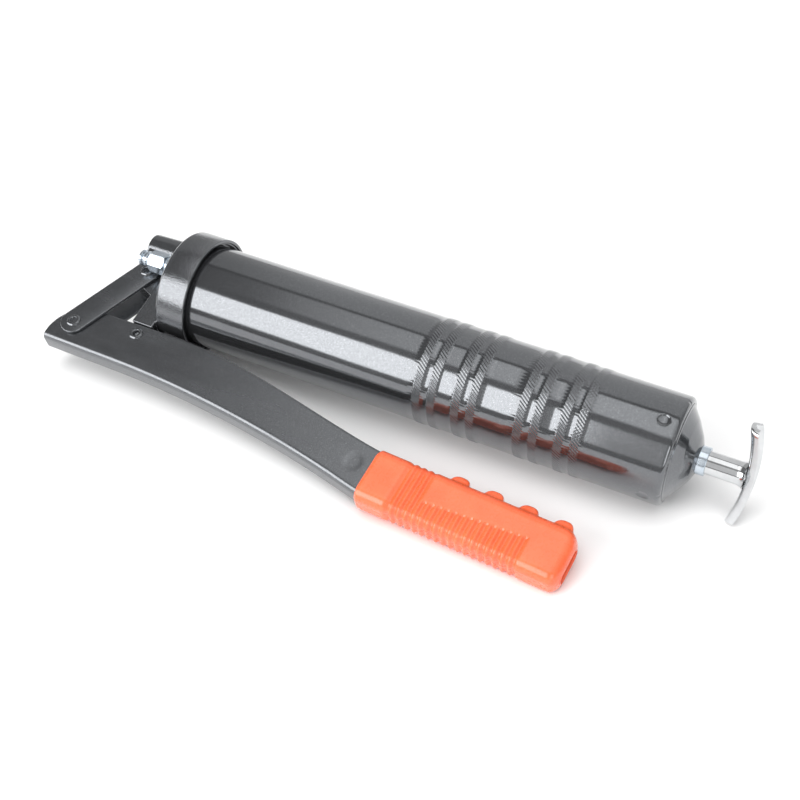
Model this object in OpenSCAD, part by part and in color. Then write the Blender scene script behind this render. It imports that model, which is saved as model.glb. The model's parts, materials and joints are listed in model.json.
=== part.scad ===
// Lever grease gun lying on its side on a bench.
// It is drawn with the barrel along X and the lever swinging in the XY plane,
// then rolled about X so that the collar and the grip rest on the bench.
// The origin is the centre of the outlet port's mouth.

/* [Barrel] */
// Outer radius of the barrel tube
barrel_r = 28.5; // [27:0.1:30]
// Wall of the barrel tube
barrel_wall = 1.2; // [0.8:0.1:2]
// Length of the tube from the collar's rim to its rounded shoulder
barrel_len = 268; // [260:1:300]
// Width of one knurled band
band_w = 5.2; // [3:0.1:7]
// Height that a knurled band stands proud
band_h = 0.45; // [0.2:0.05:0.8]

/* [Head] */
// Outer radius of the collar
collar_r = 32.8; // [32.2:0.1:34]
// Width of the collar along the barrel
collar_w = 18.2; // [17.5:0.1:20]
// Radius of the outlet boss
outlet_r = 8.3; // [7.5:0.1:9]
// Reach of the outlet boss in front of the collar's rim
outlet_reach = 52; // [50:0.5:54]

/* [Pump] */
// Radius of the plunger
plunger_r = 4.5; // [4:0.1:4.6]
// Radius of the rivets' shanks
rivet_r = 2.5; // [2:0.1:2.8]
// Half width of a link plate
link_r = 7.7; // [7:0.1:8.5]
// Thickness of a link plate
link_t = 2; // [1.5:0.1:2.5]

/* [Lever] */
// Width of the folded channel across its flanges
lever_w = 13; // [12.6:0.1:13]
// Sheet thickness of the lever
lever_t = 2; // [1.6:0.1:2]
// Thickness of the grip
grip_t = 18; // [17:0.5:20]

/* [Rod] */
// Radius of the pull rod
rod_r = 6; // [5.6:0.1:6.1]
// Length of the T-handle from tip to tip
handle_len = 58; // [50:1:60]
// Width of the T-handle's strip
handle_w = 12; // [8:0.5:14]

/* [Rest] */
// Roll of the whole gun about the barrel as it lies
roll = 14.5; // [10:0.5:16]

/* [Hidden] */
$fn = 72;
eps = 0.01;
big = 200;

// running clearance of a pin in its hole
run = 0.05;
// flat gap between faces that slide past each other
face_gap = 0.1;

// pivots of the linkage: link to head, link to lever, lever to plunger
head_pivot = [-41.3, -3];
link_pivot = [-61.9, -48.6];
plunger_pivot = [-24.7, -42.1];

// barrel and collar along X
wall_x = -13;
gasket_t = 1.4;
tube_x = wall_x + gasket_t + face_gap;
bore_r = barrel_r - barrel_wall;
shoulder_r = 2.6;
band_pairs = [143.4, 165.3, 199.4, 221];
band_pitch = 8.35;
dimple_x = 262;
dimple_r = 3.6;
dimple_depth = 0.6;

// outlet passage
outlet_y = 18;
outlet_draft = 1.3;
outlet = [-outlet_reach, outlet_y, 0];
passage_r = 3.3;
seat_r = 2;
seat_x = -29;
ball_r = 2.9;
ball_gap = 0.35;
port_r = 4.5;
port_x = -outlet_reach + 8.5;

// plunger boss, bore and packing
boss_half_w = 6.5;
boss_half_t = 7.5;
boss_mouth = -35.8;
pump_bore_end = 9;
packing_r = 5.6;
packing_y = -14;
packing_w = 3;
lug_half_t = lever_w / 2;

// filler fitting
filler_y = 0.4;
filler_z = 15.4;
filler_stem_r = 4;
filler_bore_r = 2.4;
hex_across = 11;
filler_x = [-45, -38, -27, -25, -23];

// follower and spring
cup_x = -6;
plate_r = 25;
bush_r = 7.8;
follower_x = 5.5;
coil_r = 22.8;
coil_wire = 1.3;
coil_turns = 14;
coil_x = [follower_x + coil_wire, barrel_len - 0.6];

// end cap and rod
cap_x = 270.8;
cap_end_x = 281;
cap_end_r = 10;
cap_t = 1.2;
bushing_r = 7.4;
handle_x = 302.5;
handle_t = 2;
handle_rim = 2.9;
handle_rim_t = 1.6;
handle_hole_r = 3.2;
handle_bow = 4;
handle_turn = 65.5;

gun = "#3a3d40";
zinc = "#b9c2c9";
steel = "#8d9195";
chrome_c = "#d9dcdf";
black = "#1f2022";
orange = "#f2552c";

function bezier(a, b, c, d, n = 14) =
    [for (i = [0:n]) let (t = i / n, s = 1 - t)
        s * s * s * a + 3 * s * s * t * b + 3 * s * t * t * c + t * t * t * d];

function circle_points(c, r, from, to, n = 10) =
    [for (i = [0:n]) let (a = from + (to - from) * i / n) c + r * [cos(a), sin(a)]];

// lays the upright design down on the bench, outlet mouth at the origin
module lay() {
    rotate([roll, 0, 0])
        translate(-outlet)
            children();
}

module along_x(x, y = 0, z = 0) {
    translate([x, y, z])
        rotate([0, 90, 0])
            children();
}

// cylinder along X from x0 to x1
module rod_x(x0, x1, r, y = 0, z = 0) {
    along_x(x0, y, z)
        cylinder(h = x1 - x0, r = r);
}

// cylinder along Y from y0 to y1 at the plunger's station
module rod_y(y0, y1, r) {
    translate([plunger_pivot.x, y0, 0])
        rotate([-90, 0, 0])
            cylinder(h = y1 - y0, r = r);
}

// solid of revolution about X: points are [x, radius]
module turned(points) {
    rotate([0, 90, 0])
        rotate_extrude($fn = 96)
            polygon([for (p = points) [p[1], p[0]]]);
}

module plate(z0, z1) {
    translate([0, 0, z0])
        linear_extrude(z1 - z0)
            children();
}

// tubular rivet along Z with a low flared head on each side
module tubular_rivet(c, half) {
    head_r = rivet_r + 1.4;
    head_t = 0.9;
    hollow_r = rivet_r - 1;
    hollow_depth = 4;
    translate([c.x, c.y, 0])
        difference() {
            union() {
                translate([0, 0, -half])
                    cylinder(h = 2 * half, r = rivet_r);
                for (s = [0, 1])
                    mirror([0, 0, s])
                        translate([0, 0, half])
                            cylinder(h = head_t, r = head_r);
            }
            for (s = [0, 1])
                mirror([0, 0, s])
                    translate([0, 0, half + head_t - hollow_depth])
                        cylinder(h = hollow_depth + 1, r = hollow_r);
        }
}

// round wire wound about X, as one swept tube
module coil(x0, x1, r, wire, turns, steps, sides = 6) {
    n = turns * steps;
    lead = (x1 - x0) / n;
    points = [
        for (i = [0:n]) let (a = 360 * i / steps)
            for (j = [0:sides - 1]) let (b = 360 * j / sides, q = r + wire * cos(b))
                [x0 + lead * i + wire * sin(b), q * cos(a), q * sin(a)]
    ];
    walls = [
        for (i = [0:n - 1]) for (j = [0:sides - 1])
            let (k = (j + 1) % sides, a = i * sides, b = a + sides)
                for (f = [[a + j, b + j, b + k], [a + j, b + k, a + k]])
                    f
    ];
    first = [for (j = [0:sides - 1]) j];
    last = [for (j = [sides - 1:-1:0]) n * sides + j];
    polyhedron(points, concat([first], walls, [last]));
}

// outline of the head's cast body in the lever plane
module head_plan() {
    lug_r = 8.6;
    x1 = -collar_w + 1;
    left = plunger_pivot.x - boss_half_w;
    low = -16.5;
    front = -outlet_reach + 1.5;
    polygon(concat(
        [[left, low], [x1, low], [x1, outlet_y], [front, outlet_y], [front, 5]],
        circle_points(head_pivot, lug_r, 172, 262)
    ));
}

module pump_head() {
    rim_r = collar_r - 1.8;
    recess_r = rim_r - 0.9;
    round_r = 2;
    recess_x = -5;
    front_x = -collar_w;
    feed_r = 3.5;
    feed_y = -8;
    color(gun)
    difference() {
        union() {
            turned(concat(
                [[front_x, 0]],
                circle_points([front_x + round_r, collar_r - round_r], round_r, 180, 90, 6),
                [[0, collar_r], [0, rim_r], [recess_x, recess_r],
                 [recess_x, barrel_r + run], [wall_x, barrel_r + run], [wall_x, 0]]
            ));
            plate(-lug_half_t, lug_half_t)
                head_plan();
            translate([plunger_pivot.x - boss_half_w, boss_mouth, -boss_half_t])
                cube([2 * boss_half_w, outlet_y - boss_mouth, 2 * boss_half_t]);
            translate([0, outlet_y, 0])
                turned([
                    [-outlet_reach, 0], [-outlet_reach, outlet_r],
                    [front_x + 1, outlet_r + outlet_draft], [front_x + 1, 0]
                ]);
            rod_x(filler_x[4], front_x + 1, hex_across / 2 + 1, filler_y, filler_z);
        }
        rod_x(wall_x, 1, barrel_r + run);
        rod_y(boss_mouth - 1, pump_bore_end, plunger_r + run);
        rod_y(packing_y, packing_y + packing_w, packing_r);
        rod_y(pump_bore_end - 1, outlet_y, seat_r);
        rod_x(seat_x, plunger_pivot.x + seat_r, seat_r, outlet_y);
        rod_x(port_x - 1, seat_x, passage_r, outlet_y);
        rod_x(-outlet_reach - 1, port_x, port_r, outlet_y);
        rod_x(plunger_pivot.x, wall_x + 1, feed_r, feed_y);
        rod_x(filler_x[4] - 1, wall_x + 1, filler_stem_r + run, filler_y, filler_z);
        translate([head_pivot.x, head_pivot.y, -big / 2])
            cylinder(h = big, r = rivet_r);
    }
}

module plunger_packing() {
    color(black)
    difference() {
        rod_y(packing_y, packing_y + packing_w, packing_r);
        rod_y(packing_y - 1, packing_y + packing_w + 1, plunger_r + run);
    }
}

module outlet_spring() {
    color(steel)
    translate([0, outlet_y, 0])
        coil(port_x + 2.6, seat_x - 6.2, 2.2, 0.4, 4, 12);
}

module outlet_retainer() {
    color(zinc)
    difference() {
        rod_x(port_x, port_x + 2, passage_r, outlet_y);
        rod_x(port_x - 1, port_x + 3, 1.4, outlet_y);
    }
}

module outlet_ball() {
    lift = sqrt(ball_r * ball_r - seat_r * seat_r) + ball_gap;
    color(chrome_c)
    translate([seat_x - lift, outlet_y, 0])
        sphere(r = ball_r);
}

module filler_washer() {
    color(zinc)
    difference() {
        rod_x(filler_x[3], filler_x[4], hex_across / 2 + 1.2, filler_y, filler_z);
        rod_x(filler_x[3] - 1, filler_x[4] + 1, filler_stem_r, filler_y, filler_z);
    }
}

module filler_fitting() {
    nipple_r = 3.6;
    ridge_r = 4.5;
    stem_end = -17;
    color(zinc)
    difference() {
        translate([0, filler_y, filler_z])
            union() {
                along_x(filler_x[1])
                    rotate([0, 0, 30])
                        cylinder(h = filler_x[2] - filler_x[1], r = hex_across / sqrt(3), $fn = 6);
                rod_x(filler_x[2] - 1, filler_x[3], hex_across / 2);
                rod_x(filler_x[3] - 1, stem_end, filler_stem_r);
                turned([
                    [filler_x[0], 0], [filler_x[0], nipple_r], [filler_x[0] + 1, ridge_r],
                    [filler_x[0] + 2.2, ridge_r], [filler_x[0] + 2.8, nipple_r],
                    [filler_x[0] + 3.8, nipple_r], [filler_x[0] + 4.2, ridge_r],
                    [filler_x[0] + 5.4, ridge_r], [filler_x[1] - 0.8, nipple_r],
                    [filler_x[1] + 1, nipple_r], [filler_x[1] + 1, 0]
                ]);
            }
        rod_x(filler_x[0] - 1, filler_x[0] + 3, 1.3, filler_y, filler_z);
        rod_x(filler_x[0] + 2.9, stem_end + 1, filler_bore_r, filler_y, filler_z);
    }
}

module filler_ball() {
    color(chrome_c)
    translate([filler_x[0] + 5.05, filler_y, filler_z])
        sphere(r = 1.8);
}

module filler_spring() {
    color(steel)
    translate([0, filler_y, filler_z])
        coil(filler_x[0] + 9, -24, 1.6, 0.35, 6, 12);
}

module link_plan() {
    span = link_pivot - head_pivot;
    difference() {
        union() {
            for (p = [head_pivot, link_pivot])
                translate(p)
                    circle(r = link_r);
            translate((head_pivot + link_pivot) / 2)
                rotate(atan2(span.y, span.x))
                    square([norm(span), 2 * link_r], center = true);
        }
        translate(head_pivot)
            circle(r = rivet_r + run);
        translate(link_pivot)
            circle(r = rivet_r);
    }
}

module link_upper() {
    z0 = lever_w / 2 + face_gap;
    color(gun)
    plate(z0, z0 + link_t)
        link_plan();
}

module link_lower() {
    mirror([0, 0, 1])
        link_upper();
}

module head_rivet() {
    color(gun)
    tubular_rivet(head_pivot, lever_w / 2 + 2 * face_gap + link_t);
}

module link_rivet() {
    color(gun)
    tubular_rivet(link_pivot, lever_w / 2 + face_gap + link_t);
}

module plunger_rivet() {
    color(gun)
    tubular_rivet(plunger_pivot, lever_w / 2);
}

module plunger() {
    eye_r = 5.4;
    eye_half_t = lever_w / 2 - lever_t - 0.2;
    chamfer = 0.8;
    tip = pump_bore_end - 1;
    color(chrome_c)
    difference() {
        union() {
            intersection() {
                rod_y(plunger_pivot.y, tip, plunger_r);
                plate(-eye_half_t, eye_half_t)
                    translate([plunger_pivot.x - big / 2, plunger_pivot.y])
                        square([big, -plunger_pivot.y + boss_mouth + 0.4]);
            }
            rod_y(boss_mouth + 0.4, tip - chamfer, plunger_r);
            rod_y(tip - chamfer, tip, plunger_r - chamfer);
            translate([plunger_pivot.x, plunger_pivot.y, -eye_half_t])
                cylinder(h = 2 * eye_half_t, r = eye_r);
        }
        translate([plunger_pivot.x, plunger_pivot.y, -big / 2])
            cylinder(h = big, r = rivet_r + run);
    }
}

// folded face of the lever, from the tip to the tail inside the grip
function lever_back(d = 0) = [for (p = concat(
    [[-75, -62.5]],
    bezier([-30, -62.9], [20, -63.2], [80, -71.5], [125, -83], 14),
    bezier([135, -85.2], [145, -86.6], [158, -85.6], [170, -86.2], 6),
    [[222, -88.9]]
)) p + [0, d]];

// free edges of the flanges, from the tail back to the tip
lever_front = concat(
    [[222, -63.8], [170, -61.1]],
    bezier([150, -60.2], [140, -59.6], [132, -58.2], [122, -56.3], 6),
    bezier([118, -55.5], [78, -47.4], [40, -36.5], [0, -35.9], 14),
    [[-49.6, -36.5], [-60, -38.6], [-67.2, -42], [-72.6, -48.2], [-74.6, -56]]
);

module lever_plan(d = 0) {
    polygon(concat(lever_back(d), lever_front));
}

module lever() {
    half = lever_w / 2;
    bend = [[0, 3.2], [0.5, 1.5], [1.4, 0.5], [3, 0]];
    slack = 2.1;
    color(gun)
    difference() {
        union() {
            for (b = bend)
                plate(-half + b[1], half - b[1])
                    lever_plan(b[0]);
        }
        plate(-half + lever_t, half - lever_t)
            polygon(concat(
                [for (p = lever_back(lever_t)) p],
                [[230, -88.9 + lever_t], [230, -20], [-90, -20], [-90, -62.5 + lever_t]]
            ));
        translate([link_pivot.x, link_pivot.y, -big / 2])
            cylinder(h = big, r = rivet_r + slack);
        translate([plunger_pivot.x, plunger_pivot.y, -big / 2])
            cylinder(h = big, r = rivet_r);
    }
}

// rectangle with round corners, centred
module round_rect(w, h, r) {
    square([w - 2 * r, h], center = true);
    square([w, h - 2 * r], center = true);
    for (x = [-1, 1], y = [-1, 1])
        translate([x * (w / 2 - r), y * (h / 2 - r)])
            circle(r = r);
}

module grip() {
    mouth = [134, -72];
    tilt = -3;
    len = 110.5;
    half_w = 15.4;
    half_t = grip_t / 2;
    round_r = 6;
    end_r = 6;
    shoulder = [10, 5.5];
    bump_r = 5;
    bump_half_t = 5.5;
    bump_sink = 1;
    bump_x = 44.2;
    bump_pitch = 18.7;
    slot_y = [-7.4, 4.9];
    slot_r = 3.6;
    slot_x = 80;
    module plan() {
        polygon(concat(
            [[0, half_w], [0, -half_w]],
            circle_points([len - end_r, -half_w + end_r], end_r, -90, 0, 8),
            bezier([len, half_w - shoulder.y], [len, half_w - shoulder.y / 2],
                   [len - shoulder.x / 2, half_w], [len - shoulder.x, half_w], 8)
        ));
    }
    module side() {
        polygon(concat(
            [[0, half_t], [0, -half_t]],
            circle_points([len - end_r, -half_t + end_r], end_r, -90, 0, 8),
            circle_points([len - end_r, half_t - end_r], end_r, 0, 90, 8)
        ));
    }
    color(orange)
    difference() {
        translate([mouth.x, mouth.y, 0])
            rotate([0, 0, tilt]) {
                intersection() {
                    along_x(0)
                        linear_extrude(len)
                            round_rect(grip_t, 2 * half_w, round_r);
                    plate(-half_t, half_t)
                        plan();
                    rotate([90, 0, 0])
                        plate(-half_w, half_w)
                            side();
                }
                for (i = [0:3])
                    translate([bump_x + bump_pitch * i, half_w - bump_sink, -bump_half_t])
                        cylinder(h = 2 * bump_half_t, r = bump_r);
            }
        plate(-lever_w / 2 - run, lever_w / 2 + run)
            polygon(concat(lever_back(-run), [for (p = lever_front) p + [0, run]]));
        translate([mouth.x, mouth.y, 0])
            rotate([0, 0, tilt]) {
                for (y = slot_y)
                    rod_x(slot_x, len + 1, slot_r, y);
                translate([slot_x, slot_y[0], -slot_r])
                    cube([len + 1 - slot_x, slot_y[1] - slot_y[0], 2 * slot_r]);
            }
    }
}

module barrel_gasket() {
    color(black)
    difference() {
        rod_x(wall_x, wall_x + gasket_t, barrel_r - 0.3);
        rod_x(wall_x - 1, wall_x + gasket_t + 1, barrel_r - 4.5);
    }
}

module barrel_tube() {
    bands = [
        for (i = [0:3]) for (s = [-1, 1])
            band_pairs[i] + s * band_pitch / 2
    ];
    ramp = 0.4;
    outside = concat(
        [[tube_x, barrel_r]],
        [for (b = bands) for (q = [[-1, 0], [-1, 1], [1, 1], [1, 0]])
            [b + q[0] * (band_w / 2 - q[1] * ramp), barrel_r + q[1] * band_h]],
        circle_points([barrel_len, barrel_r - shoulder_r], shoulder_r, 90, 0, 6)
    );
    inside = [
        [barrel_len + shoulder_r - barrel_wall, barrel_r - shoulder_r],
        [barrel_len, bore_r],
        [tube_x, bore_r]
    ];
    dimple_ball = (dimple_r * dimple_r + dimple_depth * dimple_depth) / (2 * dimple_depth);
    color(gun)
    difference() {
        turned(concat(outside, inside));
        for (i = [0:3])
            rotate([4.5 + 90 * i, 0, 0])
                translate([dimple_x, barrel_r - dimple_depth + dimple_ball, 0])
                    sphere(r = dimple_ball);
    }
}

module end_cap() {
    skirt_x = 256;
    lip_r = barrel_r - shoulder_r - 0.1;
    skirt_r = bore_r;
    cone = bezier([cap_x, lip_r - 0.3], [275, 23.5], [279.5, 17], [cap_end_x, cap_end_r], 8);
    color(gun)
    turned(concat(
        [[skirt_x, skirt_r], [barrel_len - 0.2, skirt_r], [barrel_len + 1.2, lip_r]],
        cone,
        [[cap_end_x, bushing_r], [cap_end_x - cap_t, bushing_r]],
        [for (i = [8:-1:0]) cone[i] - [cap_t, 0.9]],
        [[barrel_len - 1, skirt_r - cap_t], [skirt_x, skirt_r - cap_t]]
    ));
}

module rod_bushing() {
    edge = 0.4;
    reach = 4.4;
    color(zinc)
    turned([
        [cap_end_x - 4, rod_r + run], [cap_end_x - 4, bushing_r],
        [cap_end_x + reach - edge, bushing_r], [cap_end_x + reach, bushing_r - edge],
        [cap_end_x + reach, rod_r + run]
    ]);
}

module follower_cup() {
    outer = bore_r - 0.1;
    color(black)
    turned([
        [cup_x, outer], [4, outer], [4, bush_r], [-1.5, bush_r], [-1.5, 21.5], [cup_x, outer - 1.5]
    ]);
}

module follower_front_plate() {
    color(zinc)
    difference() {
        rod_x(-3, -1.5, 20);
        rod_x(-4, 0, bush_r);
    }
}

module follower_back_plate() {
    color(zinc)
    turned([
        [4, bush_r], [4, plate_r], [follower_x + 3, plate_r + 0.8], [follower_x + 3, plate_r - 0.4],
        [follower_x, plate_r - 0.8], [follower_x, bush_r]
    ]);
}

module follower_bush() {
    color(zinc)
    turned([
        [-4.5, rod_r + run], [-4.5, 10], [-3, 10], [-3, bush_r], [follower_x, bush_r],
        [follower_x, 9.4], [follower_x + 2, 8.8], [follower_x + 2, rod_r + run]
    ]);
}

module follower_spring() {
    color(steel)
    coil(coil_x[0], coil_x[1], coil_r, coil_wire, coil_turns, 18);
}

module pull_rod() {
    color(chrome_c)
    turned([
        [-9.5, 0], [-9.5, rod_r - 1], [-9, rod_r - 0.4], [-4.8, rod_r - 0.4], [-4.8, rod_r],
        [handle_x + handle_bow - handle_t, rod_r], [handle_x + handle_bow - handle_t, handle_hole_r],
        [handle_x + handle_bow, handle_hole_r], [handle_x + handle_bow + 0.8, 2.4],
        [handle_x + handle_bow + 0.8, 0]
    ]);
}

module rod_nut() {
    across = 17;
    color(zinc)
    difference() {
        along_x(-8.8)
            cylinder(h = 4, r = across / sqrt(3), $fn = 6);
        rod_x(-10, -4, rod_r - 0.4);
    }
}

module t_handle() {
    half = handle_len / 2;
    arc_r = half * half / (2 * handle_bow) + handle_bow / 2;
    centre_x = handle_x + handle_bow - arc_r;
    module bowed(r, w) {
        intersection() {
            translate([centre_x, 0, -w / 2])
                cylinder(h = w, r = r, $fn = 360);
            translate([handle_x - 20, -half, -handle_w])
                cube([40, handle_len, 2 * handle_w]);
        }
    }
    color(chrome_c)
    rotate([handle_turn, 0, 0])
        difference() {
            bowed(arc_r + handle_rim, handle_w);
            difference() {
                bowed(arc_r + handle_rim + 1, handle_w - 2 * handle_rim_t);
                translate([centre_x, 0, -handle_w])
                    cylinder(h = 2 * handle_w, r = arc_r, $fn = 360);
            }
            translate([centre_x, 0, -handle_w])
                cylinder(h = 2 * handle_w, r = arc_r - handle_t, $fn = 360);
            rod_x(handle_x - 20, handle_x + 20, handle_hole_r);
        }
}

module handle_collar() {
    x1 = handle_x + handle_bow - handle_t;
    color(chrome_c)
    turned([
        [x1 - 4.5, rod_r], [x1 - 4.5, rod_r + 0.3], [x1 - 1.6, rod_r + 0.9], [x1 - 0.3, rod_r + 1.2],
        [x1 - 0.3, rod_r]
    ]);
}

lay() pump_head();
lay() plunger_packing();
lay() outlet_spring();
lay() outlet_retainer();
lay() filler_washer();
lay() filler_fitting();
lay() filler_spring();
lay() head_rivet();
lay() outlet_ball();
lay() filler_ball();
lay() link_upper();
lay() link_lower();
lay() link_rivet();
lay() plunger();
lay() lever();
lay() plunger_rivet();
lay() grip();
lay() barrel_gasket();
lay() barrel_tube();
lay() end_cap();
lay() rod_bushing();
lay() follower_cup();
lay() follower_front_plate();
lay() follower_back_plate();
lay() follower_bush();
lay() follower_spring();
lay() pull_rod();
lay() rod_nut();
lay() t_handle();
lay() handle_collar();
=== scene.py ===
import json
import math

import bmesh
import bpy
import numpy as np
from mathutils import Matrix, Vector


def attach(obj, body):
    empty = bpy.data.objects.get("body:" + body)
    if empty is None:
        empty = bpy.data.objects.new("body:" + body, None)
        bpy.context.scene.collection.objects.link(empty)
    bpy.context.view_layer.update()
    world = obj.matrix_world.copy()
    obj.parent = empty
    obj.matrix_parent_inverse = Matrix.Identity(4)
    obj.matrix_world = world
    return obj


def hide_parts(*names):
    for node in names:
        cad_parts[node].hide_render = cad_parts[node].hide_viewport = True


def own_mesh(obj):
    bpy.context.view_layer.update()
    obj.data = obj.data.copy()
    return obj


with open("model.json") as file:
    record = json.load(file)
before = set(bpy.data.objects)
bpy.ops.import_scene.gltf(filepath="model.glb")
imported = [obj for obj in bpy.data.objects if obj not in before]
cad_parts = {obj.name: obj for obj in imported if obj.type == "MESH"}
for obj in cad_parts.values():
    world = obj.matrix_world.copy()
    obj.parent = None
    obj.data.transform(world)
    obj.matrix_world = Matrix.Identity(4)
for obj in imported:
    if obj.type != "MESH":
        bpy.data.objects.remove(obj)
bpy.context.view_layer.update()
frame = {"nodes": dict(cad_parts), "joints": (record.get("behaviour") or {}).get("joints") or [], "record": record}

# Shapes are worked out in the gun's own upright frame, in millimetres: X along the barrel from the
# collar's rim, the lever swinging in the XY plane on the -Y side. LAY rolls them into the row frame.
MM = 0.001
JOINTS = {joint["name"]: joint for joint in frame["joints"]}
SWING_AXIS = JOINTS["lever_swing"]["axis"]
ROLL = math.atan2(SWING_AXIS[1], -SWING_AXIS[2])
AXIS_POINT = Vector(JOINTS["rod_spin"]["pos_m"])
TURN = Matrix.Rotation(ROLL, 4, "X")
LAY = Matrix.Translation(AXIS_POINT) @ TURN @ Matrix.Scale(MM, 4)
UNLAY = LAY.inverted()
SLOTS = {part["node"]: part["material_slot"] for part in frame["record"]["subparts"]}


def reach(node):
    """Lowest and highest corner of a CAD node in the gun's own frame, in millimetres."""
    points = np.array([UNLAY @ v.co for v in frame["nodes"][node].data.vertices])
    return Vector(points.min(0)), Vector(points.max(0))


def middle(node):
    """Centre of a CAD node's box in the gun's own frame."""
    low, high = reach(node)
    return (low + high) / 2


def pivot(joint):
    """A joint's place in the gun's own frame."""
    return UNLAY @ Vector(JOINTS[joint]["pos_m"])


# ---------------------------------------------------------------- mesh tools

SHARP_DEG = 32


def finished(name, mesh, body, material, stands_for=(), sharp=SHARP_DEG):
    """Makes a piece of a mesh in the gun's own frame: rolled into place, shaded, and riding on its body."""
    mesh.transform(LAY)
    bm = bmesh.new()
    bm.from_mesh(mesh)
    bmesh.ops.remove_doubles(bm, verts=bm.verts, dist=1e-7)
    bmesh.ops.recalc_face_normals(bm, faces=bm.faces)
    limit = math.radians(sharp)
    for face in bm.faces:
        face.smooth = True
    for edge in bm.edges:
        edge.smooth = len(edge.link_faces) != 2 or edge.calc_face_angle(0) < limit
    bm.to_mesh(mesh)
    bm.free()
    piece = bpy.data.objects.new(name, mesh)
    bpy.context.scene.collection.objects.link(piece)
    mesh.materials.clear()
    mesh.materials.append(material)
    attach(piece, body)
    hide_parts(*stands_for)
    return piece


def skin(rows, closed=False, caps=(True, True)):
    """Vertices and faces of a tube through rows of points. closed joins the last row to the first."""
    rows = np.asarray(rows, float)
    count, around = rows.shape[:2]
    index = np.arange(count * around).reshape(count, around)
    ahead = np.roll(index, -1, axis=0) if closed else index[1:]
    here = index if closed else index[:-1]
    quads = np.stack([here, np.roll(here, -1, 1), np.roll(ahead, -1, 1), ahead], axis=-1)
    faces = quads.reshape(-1, 4).tolist()
    if not closed:
        if caps[0]:
            faces.append(index[0][::-1].tolist())
        if caps[1]:
            faces.append(index[-1].tolist())
    return rows.reshape(-1, 3), faces


def mesh_of(*parts):
    """One mesh of several (vertices, faces) parts."""
    verts = []
    faces = []
    for points, polygons in parts:
        start = len(verts)
        verts.extend(map(tuple, points))
        faces.extend([i + start for i in polygon] for polygon in polygons)
    mesh = bpy.data.meshes.new("mesh")
    mesh.from_pydata(verts, [], faces)
    mesh.update()
    return mesh


def rounded(corners, step=15):
    """A line through (x, y, radius) corners, each one turned into an arc of that radius."""
    points = []
    for i, (x, y, radius) in enumerate(corners):
        here = np.array([x, y], float)
        if radius == 0 or i in (0, len(corners) - 1):
            points.append(here)
            continue
        back = np.array(corners[i - 1][:2], float) - here
        on = np.array(corners[i + 1][:2], float) - here
        back /= np.linalg.norm(back)
        on /= np.linalg.norm(on)
        half = math.acos(np.clip(back @ on, -1, 1)) / 2
        reach_along = radius / math.tan(half)
        centre = here + (back + on) / np.linalg.norm(back + on) * radius / math.sin(half)
        start = here + back * reach_along - centre
        end = here + on * reach_along - centre
        turn = math.atan2(start[0] * end[1] - start[1] * end[0], start @ end)
        steps = max(2, round(abs(math.degrees(turn)) / step))
        for k in range(steps + 1):
            a = turn * k / steps
            c, s = math.cos(a), math.sin(a)
            points.append(centre + [c * start[0] - s * start[1], s * start[0] + c * start[1]])
    return points


def angles(count):
    return np.linspace(0, 2 * math.pi, count, endpoint=False)


def turned_rows(profile, count=96, centre=(0, 0)):
    """Rows of a solid of revolution about X from (x, radius) points."""
    a = angles(count)
    return [
        np.stack([np.full(count, x), centre[0] + r * np.cos(a), centre[1] + r * np.sin(a)], axis=1)
        for x, r in profile
    ]


def turned(corners, count=96, centre=(0, 0), closed=False):
    """A solid of revolution about X from (x, radius, corner radius) points."""
    if closed:
        first, last = np.array(corners[0][:2]), np.array(corners[-1][:2])
        seam = tuple((first + last) / 2) + (0,)
        profile = rounded([seam, *corners, seam])[:-1]
    else:
        profile = rounded(corners)
    return skin(turned_rows(profile, count, centre), closed=closed)


def bezier(a, b, c, d, n=14):
    t = np.linspace(0, 1, n + 1)[:, None]
    s = 1 - t
    a, b, c, d = (np.array(p, float) for p in (a, b, c, d))
    return s**3 * a + 3 * s * s * t * b + 3 * s * t * t * c + t**3 * d


def eased(value, low, high):
    """0 below low, 1 above high, and smooth between."""
    t = np.clip((np.asarray(value, float) - low) / (high - low), 0, 1)
    return t * t * (3 - 2 * t)


def after(mesh, *modifiers):
    """The mesh once modifiers, each (type, settings), have been applied to it."""
    carrier = bpy.data.objects.new("carrier", mesh)
    bpy.context.scene.collection.objects.link(carrier)
    for kind, settings in modifiers:
        modifier = carrier.modifiers.new(kind, kind)
        for key, value in settings.items():
            setattr(modifier, key, value)
    bpy.context.view_layer.update()
    graph = bpy.context.evaluated_depsgraph_get()
    result = bpy.data.meshes.new_from_object(carrier.evaluated_get(graph))
    bpy.data.objects.remove(carrier)
    return result


def cut_with(mesh, *tools):
    """mesh less the solids in tools."""
    holders = []
    settings = []
    for tool in tools:
        holder = bpy.data.objects.new("tool", tool)
        bpy.context.scene.collection.objects.link(holder)
        holders.append(holder)
        settings.append(("BOOLEAN", {"operation": "DIFFERENCE", "solver": "EXACT", "object": holder}))
    result = after(mesh, *settings)
    for holder in holders:
        bpy.data.objects.remove(holder)
    return result


# ---------------------------------------------------------------- materials


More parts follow.
